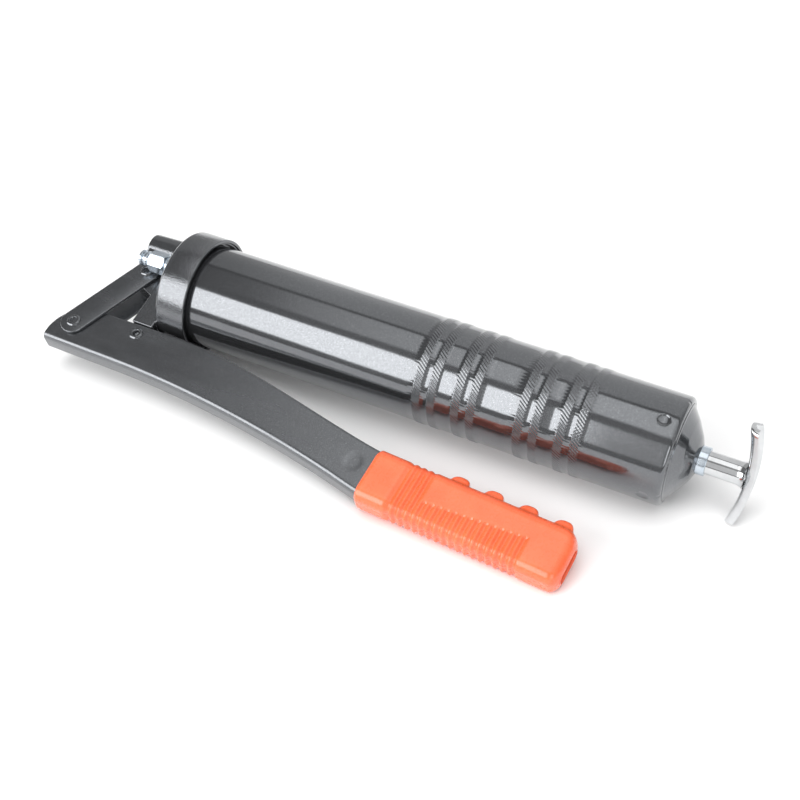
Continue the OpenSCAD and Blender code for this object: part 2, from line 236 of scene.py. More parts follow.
class Shader:
    """A procedural material round one Principled shader, in the object's own coordinates."""

    def __init__(self, name, **values):
        self.material = bpy.data.materials.new(name)
        self.material.use_nodes = True
        self.nodes = self.material.node_tree.nodes
        self.links = self.material.node_tree.links
        self.surface = self.nodes["Principled BSDF"]
        self.place = self.nodes.new("ShaderNodeTexCoord").outputs["Object"]
        for key, value in values.items():
            self.surface.inputs[key.replace("_", " ")].default_value = value

    def stretched(self, scale):
        mapping = self.nodes.new("ShaderNodeMapping")
        mapping.inputs["Scale"].default_value = scale
        self.links.new(self.place, mapping.inputs["Vector"])
        return mapping.outputs["Vector"]

    def noise(self, size_mm, detail=2.0, along=None):
        node = self.nodes.new("ShaderNodeTexNoise")
        node.inputs["Scale"].default_value = 1 / (size_mm * MM)
        node.inputs["Detail"].default_value = detail
        self.links.new(along or self.place, node.inputs["Vector"])
        return node.outputs["Fac"]

    def flakes(self, size_mm):
        node = self.nodes.new("ShaderNodeTexVoronoi")
        node.inputs["Scale"].default_value = 1 / (size_mm * MM)
        self.links.new(self.place, node.inputs["Vector"])
        return node.outputs["Color"]

    def ramp(self, value, *stops):
        node = self.nodes.new("ShaderNodeValToRGB")
        elements = node.color_ramp.elements
        while len(elements) < len(stops):
            elements.new(0.5)
        for element, (position, colour) in zip(elements, stops):
            element.position = position
            element.color = (*colour, 1) if hasattr(colour, "__len__") else (colour,) * 3 + (1,)
        self.links.new(value, node.inputs["Fac"])
        return node.outputs["Color"]

    def bump(self, height, distance_mm, strength=1.0, under=None):
        node = self.nodes.new("ShaderNodeBump")
        node.inputs["Distance"].default_value = distance_mm * MM
        node.inputs["Strength"].default_value = strength
        self.links.new(height, node.inputs["Height"])
        if under:
            self.links.new(under, node.inputs["Normal"])
        return node.outputs["Normal"]

    def drive(self, **sockets):
        for key, output in sockets.items():
            self.links.new(output, self.surface.inputs[key.replace("_", " ")])
        return self.material


CHARCOAL_LOW = (0.128, 0.134, 0.142)
CHARCOAL_HIGH = (0.172, 0.178, 0.188)
CHARCOAL_SPARK = (0.27, 0.28, 0.29)
FLAKE_MM = 0.3


def gun_paint(name, peel_mm, peel_height, roughness):
    """Glossy charcoal paint with a fine metallic flake, over orange peel of the given size."""
    s = Shader(name, Metallic=0.88, Coat_Weight=0.35, Coat_Roughness=0.04)
    flake = s.ramp(s.flakes(FLAKE_MM), (0.0, CHARCOAL_LOW), (0.8, CHARCOAL_HIGH), (1.0, CHARCOAL_SPARK))
    cloud = s.noise(9, 3, s.stretched((0.25, 1, 1)))
    polish = s.ramp(cloud, (0.3, roughness * 0.8), (0.7, roughness * 1.25))
    streak = s.bump(s.noise(3.5, 1, s.stretched((0.1, 1, 1))), 0.02)
    normal = s.bump(s.noise(peel_mm, 1), peel_height, under=streak)
    return s.drive(Base_Color=flake, Roughness=polish, Normal=normal)


def grip_plastic():
    """Dipped soft plastic: glossy orange with slight clouding and a fine skin."""
    s = Shader("orange_grip", Coat_Weight=0.6, Coat_Roughness=0.09, IOR=1.5)
    colour = s.ramp(s.noise(14, 3), (0.3, (0.88, 0.12, 0.035)), (0.7, (0.94, 0.155, 0.055)))
    gloss = s.ramp(s.noise(2.2, 3), (0.3, 0.24), (0.7, 0.32))
    return s.drive(Base_Color=colour, Roughness=gloss, Normal=s.bump(s.noise(1.4, 2), 0.01))


def bright_metal(name, dark, light, rough_low, rough_high, grain_mm, grain_height, along=(1, 1, 1)):
    """Bare or plated metal with a directional grain."""
    s = Shader(name, Metallic=1.0)
    grain = s.noise(grain_mm, 4, s.stretched(along))
    colour = s.ramp(s.noise(6, 3), (0.3, dark), (0.7, light))
    rough = s.ramp(grain, (0.3, rough_low), (0.7, rough_high))
    return s.drive(Base_Color=colour, Roughness=rough, Normal=s.bump(grain, grain_height))


def rubber():
    s = Shader("black_rubber", Specular_IOR_Level=0.4)
    colour = s.ramp(s.noise(5, 3), (0.3, (0.012, 0.012, 0.013)), (0.7, (0.024, 0.024, 0.025)))
    rough = s.ramp(s.noise(1.5, 2), (0.3, 0.5), (0.7, 0.65))
    return s.drive(Base_Color=colour, Roughness=rough, Normal=s.bump(s.noise(0.6, 2), 0.02))


PAINT = gun_paint("gun_paint", 1.1, 0.009, 0.11)
CAST_PAINT = gun_paint("gun_paint_cast", 0.8, 0.11, 0.17)
LEVER_PAINT = gun_paint("gun_paint_sheet", 0.9, 0.016, 0.24)
ORANGE = grip_plastic()
CHROME = bright_metal("chrome", (0.6, 0.61, 0.62), (0.7, 0.71, 0.72), 0.05, 0.1, 1.2, 0.012)
ZINC = bright_metal("zinc_plate", (0.5, 0.57, 0.64), (0.66, 0.72, 0.78), 0.16, 0.26, 0.5, 0.01)
GROUND = bright_metal("ground_steel", (0.5, 0.5, 0.51), (0.6, 0.6, 0.6), 0.16, 0.24, 0.4, 0.006, (1, 0.2, 1))
SPRING = bright_metal("spring_steel", (0.2, 0.2, 0.21), (0.32, 0.32, 0.33), 0.25, 0.4, 0.4, 0.008)
RUBBER = rubber()
FINISH = {
    "gun_paint": PAINT, "orange_grip": ORANGE, "chrome": CHROME, "zinc_plate": ZINC,
    "ground_steel": GROUND, "spring_steel": SPRING, "black_rubber": RUBBER,
}


def finish_cad_nodes():
    for name, node in frame["nodes"].items():
        node.data.materials.clear()
        node.data.materials.append(FINISH[SLOTS[name]])


# ---------------------------------------------------------------- barrel

BARREL_R = 28.5
BARREL_WALL = 1.2
TUBE_START = reach("barrel_tube")[0].x
TUBE_END = reach("barrel_tube")[1].x
SHOULDER_R = 2.6
SHOULDER_X = TUBE_END - SHOULDER_R
BAND_PAIRS = (143.4, 165.3, 199.4, 221.0)
BAND_PITCH = 8.35
BAND_MIDDLES = [pair + side * BAND_PITCH / 2 for pair in BAND_PAIRS for side in (-1, 1)]
BAND_W = 5.2
BAND_H = 0.3
BAND_LOW = 0.14
RIDGES = 100
RIDGE_LEAN = -math.tan(math.radians(36))
CROSSED = 0.3
COLUMNS = RIDGES * 8
DIMPLE_X = 262.0
DIMPLE_R = 3.4
DIMPLE_DEPTH = 0.95
DIMPLE_FIRST_DEG = 4.5
DENT_R = 6.0
DENT_DEPTH = 0.14
CRIMPS_DEG = (58.5, 178.5, 298.5)
CRIMP_HALF_W = 1.5
CRIMP_DEPTH = 0.7


def band_height(x, a):
    """Height of the knurled bands over the tube at station x. The last one's ridges are faintly crossed."""
    height = np.zeros_like(a)
    for number, m in enumerate(BAND_MIDDLES):
        edge = float(eased(BAND_W / 2 - abs(x - m), 0, 0.55))
        if edge == 0:
            continue
        lean = (x - m) * RIDGE_LEAN / BARREL_R
        ridge = 0.5 + 0.5 * np.cos(RIDGES * (a + lean))
        if number == len(BAND_MIDDLES) - 1:
            crossing = 0.5 + 0.5 * np.cos(RIDGES * (a - lean))
            ridge = (1 - CROSSED) * ridge + CROSSED * crossing
        height = np.maximum(height, edge * (BAND_LOW + (BAND_H - BAND_LOW) * ridge))
    return height


def dimple_depth(x, a):
    """Depth of the four round dimples near the shoulder, each in a wide shallow dent."""
    depth = np.zeros_like(a)
    for k in range(4):
        middle_a = math.radians(DIMPLE_FIRST_DEG + 90 * k)
        off = (a - middle_a + math.pi) % (2 * math.pi) - math.pi
        r = np.hypot(x - DIMPLE_X, off * BARREL_R)
        bowl = np.sqrt(np.clip(1 - (r / DIMPLE_R) ** 2, 0, 1))
        dent = DENT_DEPTH * np.exp(-((r / DENT_R) ** 2))
        depth += DIMPLE_DEPTH * bowl * eased(DIMPLE_R - r, 0, 0.4) + dent
    return depth


def crimp_depth(a):
    """Depth of the three small crimps that hold the cap in the tube's rolled end."""
    depth = np.zeros_like(a)
    for place in CRIMPS_DEG:
        off = (a - math.radians(place) + math.pi) % (2 * math.pi) - math.pi
        depth += CRIMP_DEPTH * eased(CRIMP_HALF_W - np.abs(off) * BARREL_R, 0, 0.9)
    return depth


def barrel_stations():
    """Stations along the tube: close together on the bands and dimples, wide apart between."""
    stations = set(np.round(np.arange(TUBE_START + 0.6, SHOULDER_X, 6.0), 3))
    for m in BAND_MIDDLES:
        stations.update(np.round(m + np.linspace(-BAND_W / 2, BAND_W / 2, 17), 3))
    stations.update(np.round(np.arange(DIMPLE_X - 9, SHOULDER_X, 0.45), 3))
    return sorted(s for s in stations if s <= SHOULDER_X)


def barrel_tube():
    """The tube: its outside with bands and dimples, the rolled shoulder, and the plain inside."""
    a = angles(COLUMNS)
    rows = []

    def ring(x, r):
        rows.append(np.stack([np.full(COLUMNS, x), r * np.cos(a), r * np.sin(a)], axis=1))

    ring(TUBE_START, BARREL_R - 0.6)
    for x in barrel_stations():
        ring(x, BARREL_R + band_height(x, a) - dimple_depth(x, a))
    for t in np.linspace(0, math.pi / 2, 9)[1:]:
        x = SHOULDER_X + SHOULDER_R * math.sin(t)
        r = BARREL_R - SHOULDER_R + SHOULDER_R * math.cos(t)
        ring(x, r - dimple_depth(x, a) * math.cos(t) - crimp_depth(a) * math.sin(t) ** 2)
    inner_x = TUBE_END - BARREL_WALL
    ring(TUBE_END - 0.3, BARREL_R - SHOULDER_R - 0.4)
    ring(inner_x, BARREL_R - SHOULDER_R - 0.4)
    ring(SHOULDER_X - 0.8, BARREL_R - BARREL_WALL)
    ring(SHOULDER_X - 12, BARREL_R - BARREL_WALL - 0.02)
    ring(TUBE_START, BARREL_R - BARREL_WALL)
    return finished("barrel_skin", mesh_of(skin(rows, closed=True)), "barrel", PAINT, ["barrel_tube"])


def end_cap():
    """Pressed cap: a skirt in the barrel, a rolled lip, and a cone up to the bushing's seat."""
    low, high = reach("end_cap")
    lip_r = BARREL_R - SHOULDER_R - 0.5
    hole_r = reach("rod_bushing")[1].z + 0.05
    seat_r = hole_r + 0.35
    cone_x = TUBE_END + 0.35
    corners = [
        (low.x, BARREL_R - BARREL_WALL - 0.05, 0.3),
        (TUBE_END - 3.0, BARREL_R - BARREL_WALL - 0.05, 0.8),
        (TUBE_END - 1.3, lip_r, 0.5),
        (cone_x, lip_r, 0.5),
        (cone_x + 0.25, lip_r - 1.2, 0.5),
        (cone_x + 4.6, lip_r - 7.0, 6),
        (high.x - 1.4, seat_r + 3.6, 5),
        (high.x, seat_r, 0.8),
        (high.x, hole_r, 0.3),
        (high.x - 1.2, hole_r, 0.3),
        (high.x - 2.6, seat_r + 3.0, 5),
        (TUBE_END - 2.4, lip_r - 2.0, 2),
        (TUBE_END - 4.0, BARREL_R - BARREL_WALL - 1.3, 1),
        (low.x, BARREL_R - BARREL_WALL - 1.3, 0.3),
    ]
    cap = mesh_of(turned(corners, 160, closed=True))
    return finished("end_cap_pressing", cap, "barrel", PAINT, ["end_cap"])


def rod_bushing():
    """A plain bright sleeve that stands proud of the cap."""
    low, high = reach("rod_bushing")
    bore = reach("pull_rod")[1].z + 0.06
    outer = high.z - 0.05
    corners = [
        (low.x, bore, 0.3), (low.x, outer, 0.4), (high.x, outer, 0.4), (high.x, bore + 0.3, 0.2),
        (high.x - 0.4, bore, 0.2),
    ]
    sleeve = mesh_of(turned(corners, closed=True))
    return finished("rod_bushing_turned", sleeve, "barrel", ZINC, ["rod_bushing"])


# ---------------------------------------------------------------- pump head

COLLAR_R = 32.8
COLLAR_FACE = reach("pump_head")[1].x - 18.2
RING_START = COLLAR_FACE + 2.6
CAST_CELL = 0.36
CAST_ROUNDS = 7
THREAD_PITCH = 1.0
OUTLET = UNLAY @ Vector(frame["record"]["mounts"][0]["pos_m"])


def snapped(mesh):
    """The remeshed casting's points, with the collar's rim and front face back in their true places."""
    count = len(mesh.vertices)
    points = np.empty(count * 3, np.float32)
    normals = np.empty(count * 3, np.float32)
    mesh.vertices.foreach_get("co", points)
    mesh.vertex_normals.foreach_get("vector", normals)
    points = points.reshape(-1, 3).astype(float)
    normals = normals.reshape(-1, 3)
    r = np.hypot(points[:, 1], points[:, 2])
    band = (points[:, 0] > COLLAR_FACE + 2.0) & (r > COLLAR_R - 0.5)
    points[band, 1:] *= ((COLLAR_R - 0.06) / r[band])[:, None]
    face = ~band & (np.abs(points[:, 0] - COLLAR_FACE) < 0.25) & (np.abs(normals[:, 0]) > 0.9)
    points[face, 0] = COLLAR_FACE
    return points


def casting():
    """The head's cast front: the CAD solid ahead of the barrel's seat, with every edge and root rounded."""
    source = frame["nodes"]["pump_head"].data.copy()
    source.transform(UNLAY)
    bm = bmesh.new()
    bm.from_mesh(source)
    bmesh.ops.remove_doubles(bm, verts=bm.verts, dist=1e-5)
    bmesh.ops.bisect_plane(
        bm, geom=bm.verts[:] + bm.edges[:] + bm.faces[:], dist=1e-6,
        plane_co=(COLLAR_FACE + 3.6, 0, 0), plane_no=(1, 0, 0), clear_outer=True,
    )
    rim = [e for e in bm.edges if e.is_boundary]
    bmesh.ops.holes_fill(bm, edges=rim)
    bm.to_mesh(source)
    bm.free()
    cast = after(
        source,
        ("REMESH", {"mode": "VOXEL", "voxel_size": CAST_CELL}),
        ("SMOOTH", {"factor": 0.5, "iterations": CAST_ROUNDS}),
    )
    return snapped(cast), [list(p.vertices) for p in cast.polygons]


def collar_ring():
    """The turned part of the collar: its band, rim lip, dark recess and the bore that takes the barrel."""
    bore = BARREL_R + 0.12
    corners = [
        (RING_START, COLLAR_R - 1.5, 0), (RING_START, COLLAR_R, 0.15), (0, COLLAR_R, 0.5),
        (0, COLLAR_R - 1.7, 0.35), (-1.2, COLLAR_R - 2.0, 0.3), (-1.2, COLLAR_R - 2.7, 0.3),
        (-5, COLLAR_R - 2.7, 0.3), (-5, bore, 0.3), (-13, bore, 0.2), (-13, 3.5, 0),
        (RING_START + 0.2, 3.5, 0),
    ]
    return turned(corners, 192, closed=True)


def port_thread():
    """The outlet's internal thread, as a spiral of rounded turns on the port's wall."""
    low = reach("pump_head")[0].x
    depth = 7.0
    around = 72
    turns = depth / THREAD_PITCH
    steps = int(turns * around)
    lead_in = 1.2
    crest = 4.32
    root = 4.62
    profile = [(-0.42, root), (-0.3, root), (-0.06, crest), (0.06, crest), (0.3, root), (0.42, root)]
    rows = []
    for i in range(steps + 1):
        a = 2 * math.pi * i / around
        x = low + lead_in + THREAD_PITCH * i / around
        rows.append([(x + dx, OUTLET.y + r * math.cos(a), OUTLET.z + r * math.sin(a)) for dx, r in profile])
    return skin(rows)


def pump_head():
    """The casting with its turned collar as one piece, and the outlet's thread as another."""
    piece = mesh_of(casting(), collar_ring())
    head = finished("pump_casting", piece, "head", CAST_PAINT, ["pump_head"], sharp=40)
    thread = finished("outlet_thread", mesh_of(port_thread()), "head", CAST_PAINT, ["pump_head"], sharp=60)
    return head, thread


# ---------------------------------------------------------------- filler fitting


def filler_fitting():
    """Zinc-plated filler: a ridged nipple, a chamfered hexagon and a washer face."""
    low, high = reach("filler_fitting")
    centre = middle("filler_washer")
    hex_x = (low.x + 7.0, low.x + 18.0)
    washer_x = reach("filler_washer")[0].x
    flats = 5.5
    count = 96
    a = angles(count)
    to_flat = flats / np.cos((a + math.pi / 6) % (math.pi / 3) - math.pi / 6)

    def ring(x, r):
        return np.stack([np.full(count, x), centre.y + r * np.cos(a), centre.z + r * np.sin(a)], axis=1)

    nipple = rounded([
        (low.x, 1.4, 0), (low.x, 3.6, 0.3), (low.x + 1.0, 4.5, 0.3), (low.x + 2.2, 4.5, 0.3),
        (low.x + 2.8, 3.5, 0.3), (low.x + 3.7, 3.5, 0.3), (low.x + 4.3, 4.5, 0.3),
        (low.x + 5.4, 4.5, 0.3), (low.x + 6.2, 3.7, 0.4), (hex_x[0], 3.7, 0.3),
        (hex_x[0], 4.8, 0.2), (hex_x[0] + 0.05, 5.2, 0),
    ])
    rows = [ring(low.x + 2.6, np.full(count, 1.3))]
    rows += [ring(x, np.full(count, r)) for x, r in nipple]
    chamfer = 1.9
    for t in np.linspace(0, 1, 8):
        rows.append(ring(hex_x[0] + 0.05 + t * 1.0, np.minimum(to_flat, 5.25 + chamfer * t * 0.6)))
    for t in np.linspace(1, 0, 8):
        rows.append(ring(hex_x[1] - 0.05 - t * 1.0, np.minimum(to_flat, 5.25 + chamfer * t * 0.6)))
    tail = rounded([(hex_x[1], 5.0, 0.2), (hex_x[1] + 0.2, 4.7, 0.1), (washer_x, 4.7, 0), (high.x, 4.0, 0)])
    rows += [ring(x, np.full(count, r)) for x, r in tail]
    return finished("filler_hex", mesh_of(skin(rows)), "head", ZINC, ["filler_fitting"], sharp=25)


def filler_washer():
    """Zinc-plated washer with a rounded rim, under the fitting."""
    low, high = reach("filler_washer")
    centre = middle("filler_washer")
    r = (high.y - low.y) / 2
    corners = [
        (low.x, 4.05, 0.1), (low.x, r - 0.2, 0.5), (low.x + 0.9, r, 0.4),
        (high.x, r - 0.1, 0.4), (high.x, 4.05, 0.1),
    ]
    solid = turned(corners, centre=(centre.y, centre.z), closed=True)
    return finished("filler_sealing_washer", mesh_of(solid), "head", ZINC, ["filler_washer"])


# ---------------------------------------------------------------- links and rivets


def tubular_rivet(name, node, body):
    """Semi-tubular rivet along Z: rolled-over rims with a slight petal edge and a hollow in each."""
    low, high = reach(node)
    centre = (low + high) / 2
    top = high.z
    seat = top - 0.9
    rim_r = (high.x - low.x) / 2
    side = rounded([
        (0, 2.45, 0), (seat, 2.45, 0), (seat, rim_r, 0.12), (seat + 0.35, rim_r, 0.3),
        (top, rim_r - 0.9, 0.45), (top, 2.15, 0.35), (top - 1.1, 1.55, 0.3), (top - 2.2, 1.45, 0.5),
        (top - 2.6, 0.5, 0.3),
    ], 20)
    count = 72
    a = angles(count)
    rows = []
    for sign in (-1, 1):
        half = side[::-1] if sign < 0 else side
        for z, r in half:
            petal = 1 + 0.018 * np.cos(6 * a) * float(eased(r, 2.8, rim_r))
            x = centre.x + r * petal * np.cos(a)
            y = centre.y + r * petal * np.sin(a)
            rows.append(np.stack([x, y, np.full(count, centre.z + sign * (z - centre.z))], axis=1))
    return finished(name, mesh_of(skin(rows)), body, PAINT, [node], sharp=40)


def link_plate(name, node):
    """A link: a flat bar with round ends and softened edges."""
    low, high = reach(node)
    ends = [pivot("link_swing"), middle("link_rivet")]
    half_w = 7.7
    edge = 0.55
    along = math.atan2(ends[1].y - ends[0].y, ends[1].x - ends[0].x)
    arc = 40
    rows = []
    edge_turns = np.linspace(0, math.pi / 2, 6)
    levels = [(low.z + edge * (1 - math.sin(t)), edge * (1 - math.cos(t))) for t in edge_turns[::-1]]
    levels += [(high.z - edge * (1 - math.sin(t)), edge * (1 - math.cos(t))) for t in edge_turns]
    for z, inset in levels:
        ring = []
        for centre, start in ((ends[1], along - math.pi / 2), (ends[0], along + math.pi / 2)):
            for k in range(arc + 1):
                a = start + math.pi * k / arc
                r = half_w - inset
                ring.append((centre.x + r * math.cos(a), centre.y + r * math.sin(a), z))
        rows.append(ring)
    return finished(name, mesh_of(skin(rows)), "links", LEVER_PAINT, [node], sharp=50)


# ---------------------------------------------------------------- lever

LEVER_T = 2.0
BEND_R = 3.2
LEVER_BACK = np.concatenate([
    [[-75, -62.5]],
    bezier([-30, -62.9], [20, -63.2], [80, -71.5], [125, -83]),
    bezier([135, -85.2], [145, -86.6], [158, -85.6], [170, -86.2], 6),
    [[222, -88.9]],
])
LEVER_FRONT = np.concatenate([
    [[-49.6, -36.5]],
    bezier([0, -35.9], [40, -36.5], [78, -47.4], [118, -55.5]),
    bezier([122, -56.3], [132, -58.2], [140, -59.6], [150, -60.2], 6),
    [[170, -61.1], [222, -63.8]],
])
TIP_CORNER = (-49.6, -60.0)
TIP_POWER = 2.3
MARK_AT = (124.5, -69.0)
MARK_HALF = (6.0, 6.5)
MARK_DEPTH = 0.16


def smooth_line(line, x, width=4.0):
    """The line's height at x, averaged over a short width so that its joins don't show."""
    offsets = np.linspace(-width, width, 9)
    return np.mean([np.interp(x + d, line[:, 0], line[:, 1]) for d in offsets], axis=0)


def flange_edge(x, tip_x):
    """Height of the flanges' free edge at x, with the rounded corner at the tip."""
    if x > TIP_CORNER[0] + 4:
        return float(smooth_line(LEVER_FRONT, x))
    rise = LEVER_FRONT[0][1] - TIP_CORNER[1]
    t = min(1.0, max(0.0, (TIP_CORNER[0] - x) / (TIP_CORNER[0] - tip_x)))
    return TIP_CORNER[1] + rise * (1 - t**TIP_POWER) ** (1 / TIP_POWER)


def pressed_mark(x, y):
    """Depth of the shallow pressed mark on each flange ahead of the grip."""
    r = np.hypot((x - MARK_AT[0]) / MARK_HALF[0], (y - MARK_AT[1]) / MARK_HALF[1])
    return MARK_DEPTH * eased(1 - r, 0, 0.6)


def channel_section(x, back, front, half):
    """One U-shaped section of the folded channel as a closed ring of points."""
    outer = []
    bend_start = back + BEND_R
    front = max(front, bend_start + 0.3)
    for y in np.linspace(front - 0.7, bend_start, 26):
        outer.append((y, half - float(pressed_mark(x, y))))
    for k in range(1, 9):
        a = math.pi / 2 * k / 8
        outer.append((bend_start - BEND_R * math.sin(a), half - BEND_R + BEND_R * math.cos(a)))
    inner_r = BEND_R - LEVER_T
    inner = []
    for k in range(8, -1, -1):
        a = math.pi / 2 * k / 8
        inner.append((bend_start - inner_r * math.sin(a), half - BEND_R + inner_r * math.cos(a)))
    for y in np.linspace(bend_start, front - 0.7, 10)[1:]:
        inner.append((y, half - LEVER_T - float(pressed_mark(x, y)) * 0.8))
    lip = [(front - 0.2, half - LEVER_T + 0.12), (front, half - LEVER_T + 0.6),
           (front, half - 0.6), (front - 0.2, half - 0.12)]
    upper = inner + lip + outer
    lower = [(y, -z) for y, z in upper[::-1]]
    return [(x, y, z) for y, z in upper + lower]


def lever():
    """The lever: one long sheet folded into a channel, drilled for its two rivets."""
    low, high = reach("lever")
    half = high.z
    tip_x = low.x
    first = tip_x + 0.25
    stations = list(first + (TIP_CORNER[0] + 6 - first) * np.linspace(0, 1, 26) ** 1.8)
    stations += list(np.arange(stations[-1] + 2.5, 112, 2.5))
    stations += list(np.arange(113, 136, 0.8))
    stations += list(np.linspace(138, high.x, 24))
    rows = []
    for x in stations:
        back = float(smooth_line(LEVER_BACK, x))
        rows.append(channel_section(x, back, flange_edge(x, tip_x), half))
    channel = mesh_of(skin(rows))
    holes = []
    link_hole_r = 4.6
    plunger_hole_r = 2.5
    for centre, r in ((middle("link_rivet"), link_hole_r), (pivot("lever_swing"), plunger_hole_r)):
        a = angles(48)
        ring = np.stack([centre.x + r * np.cos(a), centre.y + r * np.sin(a), np.zeros(48)], axis=1)
        holes.append(mesh_of(skin([ring - [0, 0, 20], ring + [0, 0, 20]])))
    drilled = cut_with(channel, *holes)
    return finished("lever_channel", drilled, "lever_arm", LEVER_PAINT, ["lever"], sharp=35)


# ---------------------------------------------------------------- grip

GRIP_MOUTH = (134.0, -72.0)
GRIP_TILT = math.radians(-3)
GRIP_LEN = 110.5
GRIP_HALF_W = 15.4
GRIP_HALF_T = 9.0
GRIP_ROUND = 6.0
RIB_PITCH = 4.03
FULL_RIBS = 4
PART_RIBS = 13
RIB_FIRST = 21.0
RIB_DEPTH = 1.2
BUMPS = 4
BUMP_FIRST = 44.2
BUMP_PITCH = 18.7
BUMP_HALF = (4.9, 5.6)
BUMP_H = 3.95
GRIP_AROUND = 192
END_LEN = 9
SLOT_CENTRE_Y = -1.25


def round_box(half_y, half_z, radius, count=GRIP_AROUND):
    """A rectangle with round corners as evenly spread points, starting at the middle of the +Y side."""
    radius = min(radius, half_y - 0.01, half_z - 0.01)
    straight_y = half_y - radius
    straight_z = half_z - radius
    arc = radius * math.pi / 2
    lengths = [straight_z, arc, 2 * straight_y, arc, 2 * straight_z, arc, 2 * straight_y, arc, straight_z]
    edges = np.concatenate([[0], np.cumsum(lengths)])
    points = np.empty((count, 2))
    for i, s in enumerate(np.linspace(0, edges[-1], count, endpoint=False)):
        k = int(np.searchsorted(edges, s, side="right")) - 1
        d = s - edges[k]
        corner = {1: (straight_y, straight_z, 0), 3: (-straight_y, straight_z, 90),
                  5: (-straight_y, -straight_z, 180), 7: (straight_y, -straight_z, 270)}
        if k in corner:
            cy, cz, start = corner[k]
            a = math.radians(start) + d / radius
            points[i] = (cy + radius * math.cos(a), cz + radius * math.sin(a))
        elif k == 0:
            points[i] = (half_y, d)
        elif k == 2:
            points[i] = (straight_y - d, half_z)
        elif k == 4:
            points[i] = (-half_y, straight_z - d)
        elif k == 6:
            points[i] = (-straight_y + d, -half_z)
        else:
            points[i] = (half_y, -straight_z + d)
    return points


def end_round(x, radius, power=2.0):
    """How far the end's rounding has drawn the surface in at x."""
    t = max(0.0, (x - (GRIP_LEN - radius)) / radius)
    return radius * (1 - (1 - min(t, 1.0) ** power) ** (1 / power))


def groove_depth(x, y):
    """Depth of the grooves between the ribs: four run right across, the rest round the outer half."""
    place = (x - RIB_FIRST) / RIB_PITCH
    number = math.floor(place)
    if number < -1 or number >= FULL_RIBS + PART_RIBS:
        return np.zeros_like(y)
    groove = math.sin(math.pi * (place - number)) ** 2
    if number < FULL_RIBS - 1:
        return RIB_DEPTH * groove * (0.5 + 0.5 * eased(-y, -15.2, -8))
    limit = -3.3 + 0.078 * (x - RIB_FIRST - RIB_PITCH * FULL_RIBS)
    return RIB_DEPTH * groove * eased(limit - y, -0.5, 0.6)


def bump_height(x, z, facing):
    """Height of the four finger bumps on the side that faces the barrel."""
    total = np.zeros_like(z)
    for k in range(BUMPS):
        dx = abs(x - BUMP_FIRST - BUMP_PITCH * k) / BUMP_HALF[0]
        if dx < 1.35:
            dome = math.sqrt(max(0.0, 1 - min(dx, 1.0) ** 2.6))
            foot = 0.12 * float(eased(1.35 - dx, 0, 0.5))
            across = np.sqrt(np.clip(1 - np.abs(z / BUMP_HALF[1]) ** 4, 0, 1))
            total = np.maximum(total, BUMP_H * max(dome, foot) * across)
    return total * facing


def grip_ring(x):
    """The grip's outer section at x in its own frame."""
    high = GRIP_HALF_W - 0.85 * end_round(x, 9.0, 1.9)
    low = -GRIP_HALF_W + end_round(x, 5.5)
    half_t = GRIP_HALF_T - end_round(x, 5.6)
    mouth = 0.7 * (1 - float(eased(x, 0, 1.2)))
    corner = min(GRIP_ROUND, half_t - 0.05)
    section = round_box((high - low) / 2 - mouth, half_t - mouth, corner)
    y = section[:, 0] + (high + low) / 2
    z = section[:, 1]
    ahead = np.roll(section, -1, 0) - np.roll(section, 1, 0)
    normal = np.stack([ahead[:, 1], -ahead[:, 0]], axis=1)
    normal /= np.linalg.norm(normal, axis=1)[:, None]
    groove = groove_depth(x, y)
    bump = bump_height(x, z, eased(normal[:, 0], 0.25, 0.75))
    y = y - normal[:, 0] * groove + bump
    z = z - normal[:, 1] * groove
    return np.stack([np.full(len(y), x), y, z], axis=1)


def grip():
    """The moulded grip, with its ribs, finger bumps, rounded end and the slot in the end."""
    rows = [grip_ring(x) for x in np.arange(0, 1.3, 0.3)]
    rows += [grip_ring(x) for x in np.arange(2, RIB_FIRST - 2.2, 1.2)]
    rows += [grip_ring(x) for x in np.arange(RIB_FIRST - 2.2, GRIP_LEN - END_LEN, 0.42)]
    end_stations = GRIP_LEN - END_LEN * (1 - np.sin(np.linspace(0, math.pi / 2, 22)))
    rows += [grip_ring(x) for x in end_stations if x < GRIP_LEN]
    lip = [(GRIP_LEN, 10.1, 3.9), (GRIP_LEN - 0.25, 9.85, 3.65), (GRIP_LEN - 0.8, 9.75, 3.5),
           (GRIP_LEN - 10, 9.7, 3.45), (GRIP_LEN - 29, 9.6, 3.4)]
    for x, half_y, half_z in lip:
        section = round_box(half_y, half_z, half_z - 0.02)
        rows.append(np.stack([np.full(GRIP_AROUND, x), section[:, 0] + SLOT_CENTRE_Y, section[:, 1]], axis=1))
    c, s = math.cos(GRIP_TILT), math.sin(GRIP_TILT)
    rows = np.array(rows)
    x = GRIP_MOUTH[0] + c * rows[:, :, 0] - s * rows[:, :, 1]
    y = GRIP_MOUTH[1] + s * rows[:, :, 0] + c * rows[:, :, 1]
    placed = np.stack([x, y, rows[:, :, 2]], axis=-1)
    return finished("moulded_grip", mesh_of(skin(placed)), "lever_arm", ORANGE, ["grip"], sharp=60)


# ---------------------------------------------------------------- rod and handle

HANDLE_LEN = 58.0
HANDLE_W = 12.0
HANDLE_BOW = 4.0
HANDLE_T = 1.9
HANDLE_RIM = 2.9
HANDLE_RIM_T = 1.4
HANDLE_TURN = math.radians(65.5)


